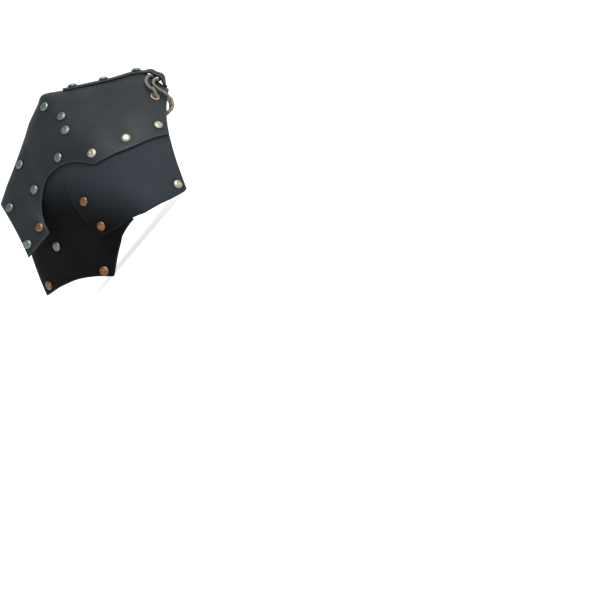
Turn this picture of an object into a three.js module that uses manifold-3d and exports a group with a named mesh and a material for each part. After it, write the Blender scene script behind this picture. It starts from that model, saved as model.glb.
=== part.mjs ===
// Leather pauldron: an upper plate riveted over a lower plate, with a ridge strap and a lace.
// Lengths are in millimetres. It is shaped as worn (+X towards the neck, -Y to the front, +Z up)
// and then turned about Y, so that it stands by itself on the four corners of the lower plate.

import * as THREE from 'three';
import { mergeVertices } from 'three/addons/utils/BufferGeometryUtils.js';
import Module from 'manifold-3d';

const wasm = await Module();
wasm.setup();

// Driving dimensions
const span = 222; // worn width, from the outer wing to the chest flap's neck corner
const rise = 273; // worn height that the outlines below are shares of
const chestDepth = 138; // from the ridge to the front of the dome, on the chest side
const armDepth = 114; // the same on the arm side
const leather = 3;
const pieceGap = 0.3;
const plateGap = 0.9; // between the two plates where they lie on each other
const rivetHead = 11.5;
const rivetHeight = 2.8;
const shoulderOut = 0.66; // where the head's curve bends, in shares of its radius and height
const shoulderUp = 0.74;
const rivetPost = 4;
const rivetWasher = 8.6;
const washerHeight = 1.2;
const holeClearance = 0.3;
const strapWidth = 17;
const strapLeather = 2;
const strapGap = 0.5;
const strapDrop = 0.6; // its edge lies this much nearer the ridge plane than half its width, from the bend
const humpRise = 9; // clear height under the strap's hump, on the ridge
const humpFall = 0.35; // share of that height that its edges lack
const eyeletFlange = 12.4;
const eyeletBarrel = 8;
const eyeletBore = 6.4;
const eyeletRoll = 10.4; // diameter of the rolled edge inside
const eyeletSlack = 0.5; // extra length of the barrel, for the leather's bend
const eyeletLip = 1.1; // thickness of the flange and of the rolled edge
const laceThickness = 4;
const drillLength = 60;
const slopeStep = 0.5; // for reading slopes of the dome
const rowStep = 0.01; // the same along its line, in rows
const startGap = 0.01; // how far outside a face a line through the leather starts
const swellReach = 4; // how far from a seat the leather round it is looked for
const slitWidth = 1; // opening at the start of the dart
const footSearch = 0.12; // share of span round a corner where its lowest point is looked for
const footTrim = 1.6; // how far each corner is worn flat where it stands

// The dome: depth from the ridge plane, as a function of the share of the way out from the pole
const pole = place(0.805, 0.264);
const domePower = 1.5;
const ridgeRoundness = 0.06;
const flankPower = 0.3;
const softAngle = THREE.MathUtils.degToRad(16); // corners of the line are rounded over this inside the dome
const softPower = 5; // and show only close to the line
const chestAngle = THREE.MathUtils.degToRad(100);
const armAngle = THREE.MathUtils.degToRad(190);

// How finely the surfaces are divided
const ribSteps = 2;
const capRows = 8;
const rowSpread = 1.4; // above 1 the rows lie closer together near the ridge
const lineSamples = 600;
const rivetSides = 6;
const rimStops = 8; // places round a disc's rim where the leather under it is looked for
const eyeletSides = 8;
const laceSides = 6;
const laceSteps = 56;
const humpSteps = 3; // for each part of the strap's hump

// The shoulder line in the ridge plane, from beyond the neck to beyond the arm (shares of span, rise)
const bodyLine = [
  { across: 1.346, up: 0.462 },
  { across: 1.249, up: 0.716 },
  { across: 1.076, up: 0.831 },
  { across: 0.913, up: 0.91 },
  { across: 0.848, up: 0.946 },
  { across: 0.775, up: 0.984 },
  { across: 0.589, up: 0.949 },
  { across: 0.336, up: 0.902 },
  { across: 0.22, up: 0.879 },
  { across: 0.197, up: 0.836 },
  { across: 0.151, up: 0.756 },
  { across: 0.11, up: 0.631 },
  { across: 0.094, up: 0.461 },
  { across: 0.113, up: 0.27 },
  { across: 0.163, up: 0.122 },
  { across: 0.23, up: -0.015 },
  { across: 0.32, up: -0.16 },
  { across: 0.508, up: -0.25 },
];
// The cap's own line leaves the body's line at this row and flares out to the wing
const wingRow = 11;
const wingLine = [
  { across: 0.132, up: 0.705 },
  { across: 0.092, up: 0.612 },
  { across: 0.051, up: 0.525 },
  { across: 0.019, up: 0.454 },
  { across: -0.004, up: 0.395 },
  { across: -0.023, up: 0.335 },
  { across: -0.045, up: 0.215 },
  { across: -0.05, up: 0.08 },
];
const armTopRow = 10; // rows of bodyLine where the lower plate starts and ends at the outside
const armTipRow = 15;

// Upper plate: one row for each rib, from the neck edge to the wing's lower edge. A rib runs from a
// row of the cap's line on the ridge to the front edge, and bow bends it sideways. hug is 1 where its
// end lies on the lower plate and 0 where it stands free.
const capRibs = [
  { ridgeRow: 3, edgeAcross: 0.903, edgeUp: 0.708, bow: -0.015, hug: 1 },
  { ridgeRow: 3.76, edgeAcross: 0.805, edgeUp: 0.686, bow: 0, hug: 1 },
  { ridgeRow: 4.8, edgeAcross: 0.697, edgeUp: 0.648, bow: 0, hug: 1 },
  { ridgeRow: 5.55, edgeAcross: 0.605, edgeUp: 0.618, bow: 0, hug: 1 },
  { ridgeRow: 6.17, edgeAcross: 0.503, edgeUp: 0.574, bow: 0, hug: 1, corner: true },
  { ridgeRow: 6.64, edgeAcross: 0.438, edgeUp: 0.582, bow: 0, hug: 1 },
  { ridgeRow: 7.15, edgeAcross: 0.373, edgeUp: 0.582, bow: 0, hug: 1 },
  { ridgeRow: 8, edgeAcross: 0.33, edgeUp: 0.569, bow: 0, hug: 1 },
  { ridgeRow: 9, edgeAcross: 0.281, edgeUp: 0.543, bow: 0, hug: 1 },
  { ridgeRow: 10, edgeAcross: 0.243, edgeUp: 0.501, bow: 0, hug: 1 },
  { ridgeRow: 11, edgeAcross: 0.224, edgeUp: 0.448, bow: 0, hug: 1 },
  { ridgeRow: 12, edgeAcross: 0.219, edgeUp: 0.4, bow: 0, hug: 1 },
  { ridgeRow: 13, edgeAcross: 0.232, edgeUp: 0.338, bow: 0, hug: 0.8 },
  { ridgeRow: 14, edgeAcross: 0.265, edgeUp: 0.277, bow: 0, hug: 0.5, corner: true },
  { ridgeRow: 15, edgeAcross: 0.151, edgeUp: 0.167, bow: 0.009, hug: 0 },
];

// Lower plate: ribs from its hidden top edge, through a middle point, to its lower edge, in shares.
// The chest flap ends at the dart; the arm part starts under it, from the dart's tip down.
const flapRibs = [
  { topAcross: 0.886, topUp: 0.804, midAcross: 0.933, midUp: 0.637, lowAcross: 1, lowUp: 0.47 },
  { topAcross: 0.805, topUp: 0.791, midAcross: 0.843, midUp: 0.602, lowAcross: 0.914, lowUp: 0.435 },
  { topAcross: 0.719, topUp: 0.769, midAcross: 0.746, midUp: 0.571, lowAcross: 0.805, lowUp: 0.392 },
  { topAcross: 0.622, topUp: 0.752, midAcross: 0.638, midUp: 0.549, lowAcross: 0.697, lowUp: 0.343 },
  { topAcross: 0.492, topUp: 0.778, midAcross: 0.492, midUp: 0.523, lowAcross: 0.616, lowUp: 0.295 },
  { topAcross: 0.422, topUp: 0.804, midAcross: 0.414, midUp: 0.507, lowAcross: 0.578, lowUp: 0.279 },
  { topAcross: 0.351, topUp: 0.826, midAcross: 0.33, midUp: 0.488, lowAcross: 0.541, lowUp: 0.264 },
];
const dartUnderlap = { midAcross: 0.497, midUp: 0.453, lowAcross: 0.686, lowUp: 0.325 };
const armRibs = [
  { topAcross: 0.319, topUp: 0.822, midAcross: 0.311, midUp: 0.462, lowAcross: 0.632, lowUp: 0.255 },
  { topAcross: 0.286, topUp: 0.804, midAcross: 0.286, midUp: 0.426, lowAcross: 0.607, lowUp: 0.171 },
  {
    topAcross: 0.259, topUp: 0.787, midAcross: 0.265, midUp: 0.4, lowAcross: 0.597, lowUp: 0.084,
    corner: true,
  },
  { topAcross: 0.238, topUp: 0.774, midAcross: 0.238, midUp: 0.396, lowAcross: 0.508, lowUp: 0.084 },
  { topAcross: 0.216, topUp: 0.765, midAcross: 0.2, midUp: 0.396, lowAcross: 0.4, lowUp: 0.067 },
  { topAcross: 0.192, topUp: 0.758, midAcross: 0.151, midUp: 0.391, lowAcross: 0.3, lowUp: 0.028 },
];
const armNoseSteps = 3;
const dartTipShare = 0.5; // how far down its rib the dart starts
const dartOpenShare = 0.56; // where the two layers are clear of each other
const plateRows = [0, 0.2, 0.38, dartTipShare, dartOpenShare, 0.7, 0.85, 1];
const dartReach = 0.05; // shares of span: how soon the under layer is down
const dartFade = 0.13; // and how far the dent round it reaches

// Strap: where it starts and ends on the ridge, and its hump over the lace (shares of span)
const strapStart = 0.335;
const strapEnd = 0.9;
const strapColumns = 10;
const hump = [
  { across: 0.775, height: 0 },
  { across: 0.81, height: 0.64 },
  { across: 0.848, height: 1 },
  { across: 0.895, height: 0 },
];

// Rivets of the front; the back has the same. layers counts the leather that each one holds.
const rivetRows = [
  { name: 'edge_1', across: 0.843, up: 0.743, plate: 'upper', layers: 2 },
  { name: 'edge_2', across: 0.67, up: 0.686, plate: 'upper', layers: 2 },
  { name: 'edge_3', across: 0.492, up: 0.62, plate: 'upper', layers: 2 },
  { name: 'edge_4', across: 0.314, up: 0.602, plate: 'upper', layers: 2 },
  { name: 'edge_5', across: 0.184, up: 0.462, plate: 'upper', layers: 2 },
  { name: 'edge_6', across: 0.211, up: 0.299, plate: 'upper', layers: 1 },
  { name: 'wing_1', across: 0.146, up: 0.224, plate: 'upper', layers: 1 },
  { name: 'wing_2', across: 0.049, up: 0.382, plate: 'upper', layers: 1 },
  { name: 'face_1', across: 0.238, up: 0.826, plate: 'upper', layers: 1 },
  { name: 'face_2', across: 0.33, up: 0.782, plate: 'upper', layers: 2 },
  { name: 'face_3', across: 0.351, up: 0.721, plate: 'upper', layers: 2 },
  { name: 'face_4', across: 0.103, up: 0.571, plate: 'upper', layers: 1 },
  { name: 'flap', across: 0.941, up: 0.488, plate: 'lower', layers: 1 },
  { name: 'dart_1', across: 0.449, up: 0.413, plate: 'lower', layers: 2 },
  { name: 'dart_2', across: 0.541, up: 0.308, plate: 'lower', layers: 2 },
  { name: 'arm_1', across: 0.303, up: 0.215, plate: 'lower', layers: 1 },
  { name: 'arm_2', across: 0.557, up: 0.114, plate: 'lower', layers: 1 },
  { name: 'arm_3', across: 0.259, up: 0.04, plate: 'lower', layers: 1 },
];
const ridgeRivets = [
  { name: 'ridge_1', across: 0.389 },
  { name: 'ridge_2', across: 0.557 },
  { name: 'ridge_3', across: 0.735 },
];

const eyeletPlace = { across: 0.83, up: 0.87 };

// The lace's route: side is -1 on the front, 1 on the back and 0 on the ridge, and lift is the
// height of its middle above the upper plate's outer face, in lace thicknesses.
const laceRoute = [
  { across: 0.765, up: 0.815, side: -1, lift: -1.9 },
  { across: 0.8, up: 0.85, side: -1, lift: -2.5 },
  { eyelet: true, side: -1, lift: -1.8 },
  { eyelet: true, side: -1, lift: 0.7 },
  { across: 0.814, up: 0.892, side: -1, lift: 1.15 },
  { across: 0.793, up: 0.908, side: -1, lift: 0.8 },
  { across: 0.782, up: 0.932, side: -1, lift: 0.7 },
  { across: 0.793, up: 0.957, side: -1, lift: 0.62 },
  { across: 0.828, up: 0, side: 0, lift: 0.62 },
  { across: 0.793, up: 0.957, side: 1, lift: 0.62 },
  { across: 0.782, up: 0.932, side: 1, lift: 0.7 },
  { across: 0.793, up: 0.908, side: 1, lift: 0.8 },
  { across: 0.814, up: 0.892, side: 1, lift: 1.15 },
  { eyelet: true, side: 1, lift: 0.7 },
  { eyelet: true, side: 1, lift: -1.8 },
  { across: 0.845, up: 0.875, side: 1, lift: -2.7 },
  { across: 0.86, up: 0, side: 0, lift: -2.4 },
  { across: 0.875, up: 0.845, side: -1, lift: -1.6 },
  { across: 0.898, up: 0.818, side: -1, lift: -1.25 },
  { across: 0.924, up: 0.822, side: -1, lift: -0.35 },
  { across: 0.92, up: 0.843, side: -1, lift: 0.68 },
  { across: 0.891, up: 0.874, side: -1, lift: 0.74 },
  { across: 0.85, up: 0.897, side: -1, lift: 0.75 },
  { across: 0.822, up: 0.915, side: -1, lift: 0.75 },
  { across: 0.82, up: 0.938, side: -1, lift: 0.66 },
  { across: 0.853, up: 0, side: 0, lift: 0.62 },
  { across: 0.82, up: 0.938, side: 1, lift: 0.66 },
  { across: 0.822, up: 0.915, side: 1, lift: 0.75 },
  { across: 0.85, up: 0.897, side: 1, lift: 0.75 },
  { across: 0.891, up: 0.874, side: 1, lift: 0.74 },
  { across: 0.92, up: 0.843, side: 1, lift: 0.68 },
  { across: 0.924, up: 0.822, side: 1, lift: -0.35 },
  { across: 0.898, up: 0.81, side: 1, lift: -1.25 },
  { across: 0.86, up: 0.815, side: 1, lift: -1.65 },
];

const leatherPaint = { color: 0x2b2e31, roughness: 0.5, metalness: 0 };
const underLeatherPaint = { color: 0x1d1e20, roughness: 0.55, metalness: 0 };
const brassPaint = { color: 0x8a7550, roughness: 0.45, metalness: 0.9 };
const lacePaint = { color: 0x8d8474, roughness: 0.8, metalness: 0 };

function place(across, up) {
  return new THREE.Vector2(across * span, up * rise);
}

function smoothShare(value, from, to) {
  return THREE.MathUtils.smoothstep(value, from, to);
}

// A line round the dome in the ridge plane, read as a distance from the pole in a direction
function domeLine(rows) {
  const points = rows.map(({ across, up }) => {
    const spot = place(across, up);
    return new THREE.Vector3(spot.x, spot.y, 0);
  });
  const curve = new THREE.CatmullRomCurve3(points, false, 'centripetal');
  const spots = curve.getPoints(lineSamples).map(({ x, y }) => new THREE.Vector2(x, y).sub(pole));
  const rays = softened(spots.map((spot) => ({ angle: angleOf(spot), radius: spot.length() })));
  const spotAt = (row) => {
    const { x, y } = curve.getPoint(row / (rows.length - 1));
    return new THREE.Vector2(x, y);
  };
  return { rays, spotAt, lastRow: rows.length - 1 };
}

// Adds to each ray its radius averaged with the rays near it
function softened(rays) {
  return rays.map((ray) => {
    const weights = rays.map(({ angle }) => Math.max(0, 1 - Math.abs(angle - ray.angle) / softAngle));
    const total = weights.reduce((sum, weight) => sum + weight, 0);
    const soft = rays.reduce((sum, { radius }, index) => sum + weights[index] * radius, 0) / total;
    return { ...ray, soft };
  });
}

function angleOf(spot) {
  const angle = Math.atan2(spot.y, spot.x);
  return angle < -Math.PI / 2 ? angle + 2 * Math.PI : angle;
}

function radiiIn(line, angle) {
  const next = line.rays.findIndex((ray) => ray.angle >= angle);
  const upper = line.rays[Math.max(next, 1)];
  const lower = line.rays[Math.max(next, 1) - 1];
  const share = (angle - lower.angle) / (upper.angle - lower.angle);
  return {
    radius: THREE.MathUtils.lerp(lower.radius, upper.radius, share),
    soft: THREE.MathUtils.lerp(lower.soft, upper.soft, share),
  };
}

function depthAt(line, spot) {
  const arm = spot.clone().sub(pole);
  const angle = angleOf(arm);
  const { radius, soft } = radiiIn(line, angle);
  const reach = Math.min(arm.length() / radius, 1);
  const outward = Math.min(arm.length() / THREE.MathUtils.lerp(soft, radius, reach ** softPower), 1);
  const remaining = 1 - outward ** domePower;
  const halfDepth = THREE.MathUtils.lerp(chestDepth, armDepth, smoothShare(angle, chestAngle, armAngle));
  return halfDepth * Math.sqrt(remaining) * (remaining + ridgeRoundness) ** flankPower;
}

// A smooth run through points in the front view, broken at corners; read by row number
function smoothRun(points, corners = []) {
  const stops = [0, ...corners, points.length - 1];
  const pieces = stops.slice(1).map((last, index) => {
    const first = stops[index];
    const run = points.slice(first, last + 1).map(({ x, y }) => new THREE.Vector3(x, y, 0));
    return { first, last, curve: new THREE.CatmullRomCurve3(run, false, 'centripetal') };
  });
  return (row) => {
    const { first, last, curve } = pieces.find((piece) => row <= piece.last);
    const { x, y } = curve.getPoint((row - first) / (last - first));
    return new THREE.Vector2(x, y);
  };
}

function cornerRows(rows) {
  return rows.flatMap(({ corner }, index) => (corner && index > 0 && index < rows.length - 1 ? [index] : []));
}

// The point at a share of the way along a rib that passes through three points
function alongRib(top, mid, low, share) {
  return top.clone().multiplyScalar((2 * share - 1) * (share - 1))
    .add(mid.clone().multiplyScalar(4 * share * (1 - share)))
    .add(low.clone().multiplyScalar(share * (2 * share - 1)));
}

function frontSpot(flat, depth, sink = 0) {
  return { at: new THREE.Vector3(flat.x, -depth, flat.y), sink };
}

// Quads between neighbouring columns of spots, facing the front
function quadsBetween(columns) {
  const quads = [];
  for (let column = 0; column < columns.length - 1; column += 1) {
    for (let row = 0; row < columns[column].length - 1; row += 1) {
      const here = columns[column];
      const next = columns[column + 1];
      quads.push([here[row], next[row], next[row + 1], here[row + 1]]);
    }
  }
  return quads;
}

function mirrorQuads(quads) {
  const across = ({ at, sink }) => ({ at: new THREE.Vector3(at.x, -at.y, at.z), sink });
  return quads.map(([a, b, c, d]) => [a, d, c, b].map(across));
}

// Welds quads into a sheet with one normal for each spot
function sheetOf(quads) {
  const spots = [];
  const known = new Map();
  const numberOf = (spot) => {
    const key = [spot.at.x, spot.at.y, spot.at.z, spot.sink].map((value) => Math.round(value * 1e4)).join();
    if (!known.has(key)) {
      known.set(key, spots.length);
      spots.push({ ...spot, normal: new THREE.Vector3() });
    }
    return known.get(key);
  };
  const faces = quads.map((quad) => quad.map(numberOf));
  for (const [a, b, c, d] of faces) {
    const across = spots[c].at.clone().sub(spots[a].at);
    const down = spots[d].at.clone().sub(spots[b].at);
    const normal = across.cross(down);
    for (const corner of [a, b, c, d]) spots[corner].normal.add(normal);
  }
  for (const spot of spots) spot.normal.normalize();
  return { spots, faces };
}

// A closed solid between two offsets of a sheet, with walls along its free edges
function thicken(sheet, outerOf, innerOf) {
  const count = sheet.spots.length;
  const shifted = (spot, offset) => spot.at.clone().addScaledVector(spot.normal, offset);
  const points = [
    ...sheet.spots.map((spot) => shifted(spot, outerOf(spot))),
    ...sheet.spots.map((spot) => shifted(spot, innerOf(spot))),
  ];
  const index = [];
  const used = new Set(sheet.faces.flatMap((face) => face.map((a, side) => `${a},${face[(side + 1) % 4]}`)));
  for (const face of sheet.faces) {
    const [a, b, c, d] = face;
    index.push(a, b, c, a, c, d);
    index.push(count + a, count + c, count + b, count + a, count + d, count + c);
    face.forEach((from, side) => {
      const to = face[(side + 1) % 4];
      if (used.has(`${to},${from}`)) return;
      index.push(to, from, count + from, to, count + from, count + to);
    });
  }
  const geometry = new THREE.BufferGeometry().setFromPoints(points);
  geometry.setIndex(index);
  return geometry;
}

function solidOf(geometry) {
  const bare = geometry.clone();
  bare.deleteAttribute('normal');
  bare.deleteAttribute('uv');
  const merged = mergeVertices(bare, 1e-4);
  const mesh = new wasm.Mesh({
    numProp: 3,
    vertProperties: new Float32Array(merged.attributes.position.array),
    triVerts: new Uint32Array(merged.index.array),
  });
  return new wasm.Manifold(mesh);
}

function geometryOf(solid) {
  const mesh = solid.getMesh();
  const geometry = new THREE.BufferGeometry();
  geometry.setAttribute('position', new THREE.BufferAttribute(new Float32Array(mesh.vertProperties), 3));
  geometry.setIndex(new THREE.BufferAttribute(new Uint32Array(mesh.triVerts), 1));
  return geometry;
}

const bodyDome = domeLine(bodyLine);
const capDome = domeLine([...bodyLine.slice(0, wingRow), ...wingLine]);

function upperPlateQuads() {
  const corners = cornerRows(capRibs);
  const ridge = smoothRun(capRibs.map(({ ridgeRow }) => new THREE.Vector2(ridgeRow, 0)));
  const edge = smoothRun(capRibs.map(({ edgeAcross, edgeUp }) => place(edgeAcross, edgeUp)), corners);
  const traits = smoothRun(capRibs.map(({ bow, hug }) => new THREE.Vector2(bow * span, hug)), corners);
  const columns = [];
  for (let step = 0; step <= (capRibs.length - 1) * ribSteps; step += 1) {
    const row = step / ribSteps;
    const start = capDome.spotAt(ridge(row).x);
    const end = edge(row);
    const { x: bow, y: hug } = traits(row);
    const pull = (depthAt(bodyDome, end) - depthAt(capDome, end)) * hug;
    const column = [frontSpot(start, 0)];
    for (let part = 1; part <= capRows; part += 1) {
      const share = (part / capRows) ** rowSpread;
      const flat = start.clone().lerp(end, share);
      flat.x += bow * 4 * share * (1 - share);
      column.push(frontSpot(flat, Math.max(depthAt(capDome, flat) + pull * share, depthAt(bodyDome, flat))));
    }
    columns.push(column);
  }
  return quadsBetween(columns);
}

// How far the arm part sinks below the chest flap near the dart
function dartSink(flat) {
  const last = flapRibs[flapRibs.length - 1];
  const tip = place(last.midAcross, last.midUp);
  const dart = place(last.lowAcross, last.lowUp).sub(tip).normalize();
  const offset = flat.clone().sub(tip);
  const along = offset.dot(dart);
  const under = dart.x * offset.y - dart.y * offset.x;
  const down = smoothShare(along, 0, dartReach * span);
  return (leather + plateGap) * down * smoothShare(under, -dartFade * span, 0);
}

function ribColumns(tops, mids, lows, rows) {
  return rows.map((row) => plateRows.map((share) => alongRib(tops(row), mids(row), lows(row), share)));
}

function rowSteps(last) {
  return Array.from({ length: last * ribSteps + 1 }, (_, step) => step / ribSteps);
}

function lowerPlateQuads() {
  const runs = (ribs) => [
    smoothRun(ribs.map(({ topAcross, topUp }) => place(topAcross, topUp))),
    smoothRun(ribs.map(({ midAcross, midUp }) => place(midAcross, midUp))),
    smoothRun(ribs.map(({ lowAcross, lowUp }) => place(lowAcross, lowUp)), cornerRows(ribs)),
  ];
  const flap = ribColumns(...runs(flapRibs), rowSteps(flapRibs.length - 1));
  const dartEdge = flap[flap.length - 1];
  const tip = dartEdge[plateRows.indexOf(dartTipShare)];
  const { midAcross, midUp, lowAcross, lowUp } = dartUnderlap;
  const hidden = [place(midAcross, midUp), place(lowAcross, lowUp)];
  const underEdge = plateRows.map((share, row) => {
    if (share <= dartTipShare) return dartEdge[row];
    if (share === dartOpenShare) return dartEdge[row].clone().sub(new THREE.Vector2(slitWidth, 0));
    return alongRib(tip, ...hidden, (share - dartTipShare) / (1 - dartTipShare));
  });
  const arm = [underEdge, ...ribColumns(...runs(armRibs), rowSteps(armRibs.length - 1))];
  const beforeNose = arm[arm.length - 1];
  const nose = plateRows.map((share) => bodyDome.spotAt(armTopRow + (armTipRow - armTopRow) * share));
  for (let step = 1; step <= armNoseSteps; step += 1) {
    const share = 1 - (1 - step / armNoseSteps) ** 2;
    arm.push(beforeNose.map((flat, row) => flat.clone().lerp(nose[row], share)));
  }
  const openRow = plateRows.indexOf(dartOpenShare);
  const sinkOf = (flat, column, row) => {
    if (row < openRow) return 0;
    return column === 0 ? leather + plateGap : dartSink(flat);
  };
  const flapSpots = flap.map((column) => column.map((flat) => frontSpot(flat, depthAt(bodyDome, flat))));
  const armSpots = arm.map((line, column) => line.map((flat, row) => {
    const onRidge = column === arm.length - 1;
    return frontSpot(flat, onRidge ? 0 : depthAt(bodyDome, flat), sinkOf(flat, column, row));
  }));
  return [...quadsBetween(flapSpots), ...quadsBetween(armSpots)];
}

// The point of the upper plate's outer face over a place in the front view, and its normal there
function capPoint({ across, up, side }) {
  if (side === 0) return ridgePoint(across);
  const flat = place(across, up);
  const depth = (x, y) => depthAt(capDome, new THREE.Vector2(x, y));
  const normal = new THREE.Vector3(
    depth(flat.x - slopeStep, flat.y) - depth(flat.x + slopeStep, flat.y),
    side,
    depth(flat.x, flat.y - slopeStep) - depth(flat.x, flat.y + slopeStep),
  ).normalize();
  return { at: new THREE.Vector3(flat.x, side * depth(flat.x, flat.y), flat.y), normal };
}

function ridgePoint(across) {
  const row = rowAcross(across);
  const here = capDome.spotAt(row);
  const run = capDome.spotAt(row + rowStep).sub(capDome.spotAt(row - rowStep));
  const normal = new THREE.Vector3(run.y, 0, -run.x).normalize();
  return { at: new THREE.Vector3(here.x, 0, here.y), normal };
}

// The row of the cap's line at a place across, along its upper stretch
function rowAcross(across) {
  let [low, high] = [0, capDome.lastRow];
  while (high - low > 1e-6) {
    const middle = (low + high) / 2;
    if (capDome.spotAt(middle).x > across * span) low = middle;
    else high = middle;
  }
  return low;
}

function humpHeight(across) {
  const next = Math.max(hump.findIndex((row) => row.across >= across), 0);
  if (next === 0) return 0;
  const [from, to] = [hump[next - 1], hump[next]];
  return THREE.MathUtils.lerp(from.height, to.height, smoothShare(across, from.across, to.across)) * humpRise;
}

// A point beside the ridge whose depth from the ridge plane is given
function besideRidge(across, depth) {
  const { at, normal } = ridgePoint(across);
  const inward = new THREE.Vector2(-normal.x, -normal.z);
  const start = new THREE.Vector2(at.x, at.z);
  let [low, high] = [0, strapWidth];
  while (high - low > 1e-6) {
    const middle = (low + high) / 2;
    if (depthAt(capDome, start.clone().addScaledVector(inward, middle)) < depth) low = middle;
    else high = middle;
  }
  return start.addScaledVector(inward, low);
}

function strapAcross() {
  const plain = Array.from({ length: strapColumns + 1 }, (_, step) => (
    THREE.MathUtils.lerp(strapStart, hump[0].across, step / strapColumns)
  ));
  const bent = [];
  for (let part = 0; part < hump.length - 1; part += 1) {
    for (let step = 1; step <= humpSteps; step += 1) {
      bent.push(THREE.MathUtils.lerp(hump[part].across, hump[part + 1].across, step / humpSteps));
    }
  }
  return [...plain, ...bent, (hump[3].across + strapEnd) / 2, strapEnd];
}

function strapQuads() {
  const columns = strapAcross().reverse().map((across) => [0, 1, 2].map((part) => {
    const { at, normal } = part === 0
      ? ridgePoint(across)
      : capPoint({ ...shareOf(besideRidge(across, (strapWidth / 2 - strapDrop) * part / 2)), side: -1 });
    const rise = humpHeight(across) * (1 - humpFall * (part / 2) ** 2);
    return { at: at.clone().addScaledVector(normal, strapGap + rise), sink: 0 };
  }));
  return quadsBetween(columns);
}

function shareOf(flat) {
  return { across: flat.x / span, up: flat.y / rise };
}

// A body turned round Y from rows of radius and height
function turned(profile, sides) {
  return new THREE.LatheGeometry(profile.map(([radius, height]) => new THREE.Vector2(radius, height)), sides);
}

// A domed rivet along +Y: head, post and inner washer in one turned body, its seat at y = 0
function rivetGeometry(grip) {
  const head = rivetHead / 2;
  const post = rivetPost / 2;
  const washer = rivetWasher / 2;
  const profile = [
    [0, rivetHeight],
    [head * shoulderOut, rivetHeight * shoulderUp],
    [head, 0],
    [post, 0],
    [post, -grip],
    [washer, -grip],
    [washer, -grip - washerHeight],
    [0, -grip - washerHeight],
  ].reverse();
  return turned(profile, rivetSides);
}

function eyeletGeometry() {
  const grip = leather + 2 * pieceGap + eyeletSlack;
  const bore = eyeletBore / 2;
  const flange = eyeletFlange / 2;
  const barrel = eyeletBarrel / 2;
  const roll = eyeletRoll / 2;
  const profile = [
    [bore, -grip - eyeletLip],
    [roll, -grip - eyeletLip],
    [roll, -grip],
    [barrel, -grip],
    [barrel, 0],
    [flange, 0],
    [flange, eyeletLip / 2],
    [flange - eyeletLip / 2, eyeletLip],
    [bore, eyeletLip],
    [bore, -grip - eyeletLip],
  ];
  return turned(profile, eyeletSides);
}

function laceEyelet(side) {
  return side < 0 ? eyeletSeat : mirrored(eyeletSeat);
}

function laceGeometry() {
  const points = laceRoute.map((stop) => {
    const { at, normal } = stop.eyelet ? laceEyelet(stop.side) : capPoint(stop);
    return at.clone().addScaledVector(normal, stop.lift * laceThickness);
  });
  const section = new THREE.Shape(new THREE.EllipseCurve(0, 0, laceThickness / 2, laceThickness / 2)
    .getPoints(laceSides).slice(0, laceSides));
  return new THREE.ExtrudeGeometry(section, {
    steps: laceSteps,
    extrudePath: new THREE.CatmullRomCurve3(points, false, 'centripetal'),
  });
}

// Where a line from outside through a plate meets the leather: the first point and its grip
function throughPlates(start, direction, meshes, layers) {
  const ray = new THREE.Raycaster(start, direction);
  const [first] = ray.intersectObjects(meshes, false);
  const inward = first.face.normal.clone().multiplyScalar(Math.sign(first.face.normal.dot(direction)));
  const walls = new THREE.Raycaster(first.point.clone().addScaledVector(inward, -startGap), inward)
    .intersectObjects(meshes, false);
  return { at: first.point, normal: inward.negate(), depth: walls[2 * layers - 1].distance };
}

// How far the leather rises above a flat disc's seat, looked for round the disc's rim
function swellUnder(at, normal, radius, meshes) {
  const side = new THREE.Vector3(normal.y, -normal.x, 0).normalize();
  const heights = [0];
  for (let turn = 0; turn < rimStops; turn += 1) {
    const rim = side.clone().applyAxisAngle(normal, turn * 2 * Math.PI / rimStops).multiplyScalar(radius);
    const start = at.clone().add(rim).addScaledVector(normal, swellReach);
    const [hit] = new THREE.Raycaster(start, normal.clone().negate()).intersectObjects(meshes, false);
    if (hit) heights.push(swellReach - hit.distance);
  }
  return Math.max(...heights);
}

// A rivet's seat: its outer point lifted clear of the leather, and the grip to its washer
function rivetSeat(at, normal, depth, meshes) {
  const lift = swellUnder(at, normal, rivetHead / 2, meshes);
  const inside = at.clone().addScaledVector(normal, -depth);
  const drop = swellUnder(inside, normal.clone().negate(), rivetWasher / 2, meshes);
  return {
    at: at.clone().addScaledVector(normal, lift),
    normal,
    grip: lift + depth + drop + 2 * pieceGap,
  };
}

function placeAlong(mesh, at, normal) {
  mesh.position.copy(at).addScaledVector(normal, pieceGap);
  mesh.quaternion.setFromUnitVectors(new THREE.Vector3(0, 1, 0), normal);
  return mesh;
}

function mirrored({ at, normal }) {
  return {
    at: new THREE.Vector3(at.x, -at.y, at.z),
    normal: new THREE.Vector3(normal.x, -normal.y, normal.z),
  };
}

function holeCutter(seats, radius, sides) {
  const drill = new THREE.CylinderGeometry(radius, radius, drillLength, sides);
  return seats.map(({ at, normal }) => {
    const cut = placeAlong(new THREE.Mesh(drill), at, normal);
    cut.updateMatrix();
    return solidOf(drill.clone().applyMatrix4(cut.matrix));
  });
}

function subtractAll(solid, cutters) {
  return cutters.reduce((rest, cutter) => rest.subtract(cutter), solid);
}

// Pieces, as worn
const upperQuads = upperPlateQuads();
const lowerQuads = lowerPlateQuads();
const upperSheet = sheetOf([...upperQuads, ...mirrorQuads(upperQuads)]);
const lowerSheet = sheetOf([...lowerQuads, ...mirrorQuads(lowerQuads)]);
const strapHalf = strapQuads();
const strapSheet = sheetOf([...strapHalf, ...mirrorQuads(strapHalf)]);
const layer = leather + plateGap;
const upperShell = thicken(upperSheet, () => 0, () => -leather);
const lowerShell = thicken(
  lowerSheet,
  ({ sink }) => -layer - sink,
  ({ sink }) => -layer - sink - leather,
);
const strapShell = thicken(strapSheet, () => strapLeather, () => 0);

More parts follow.
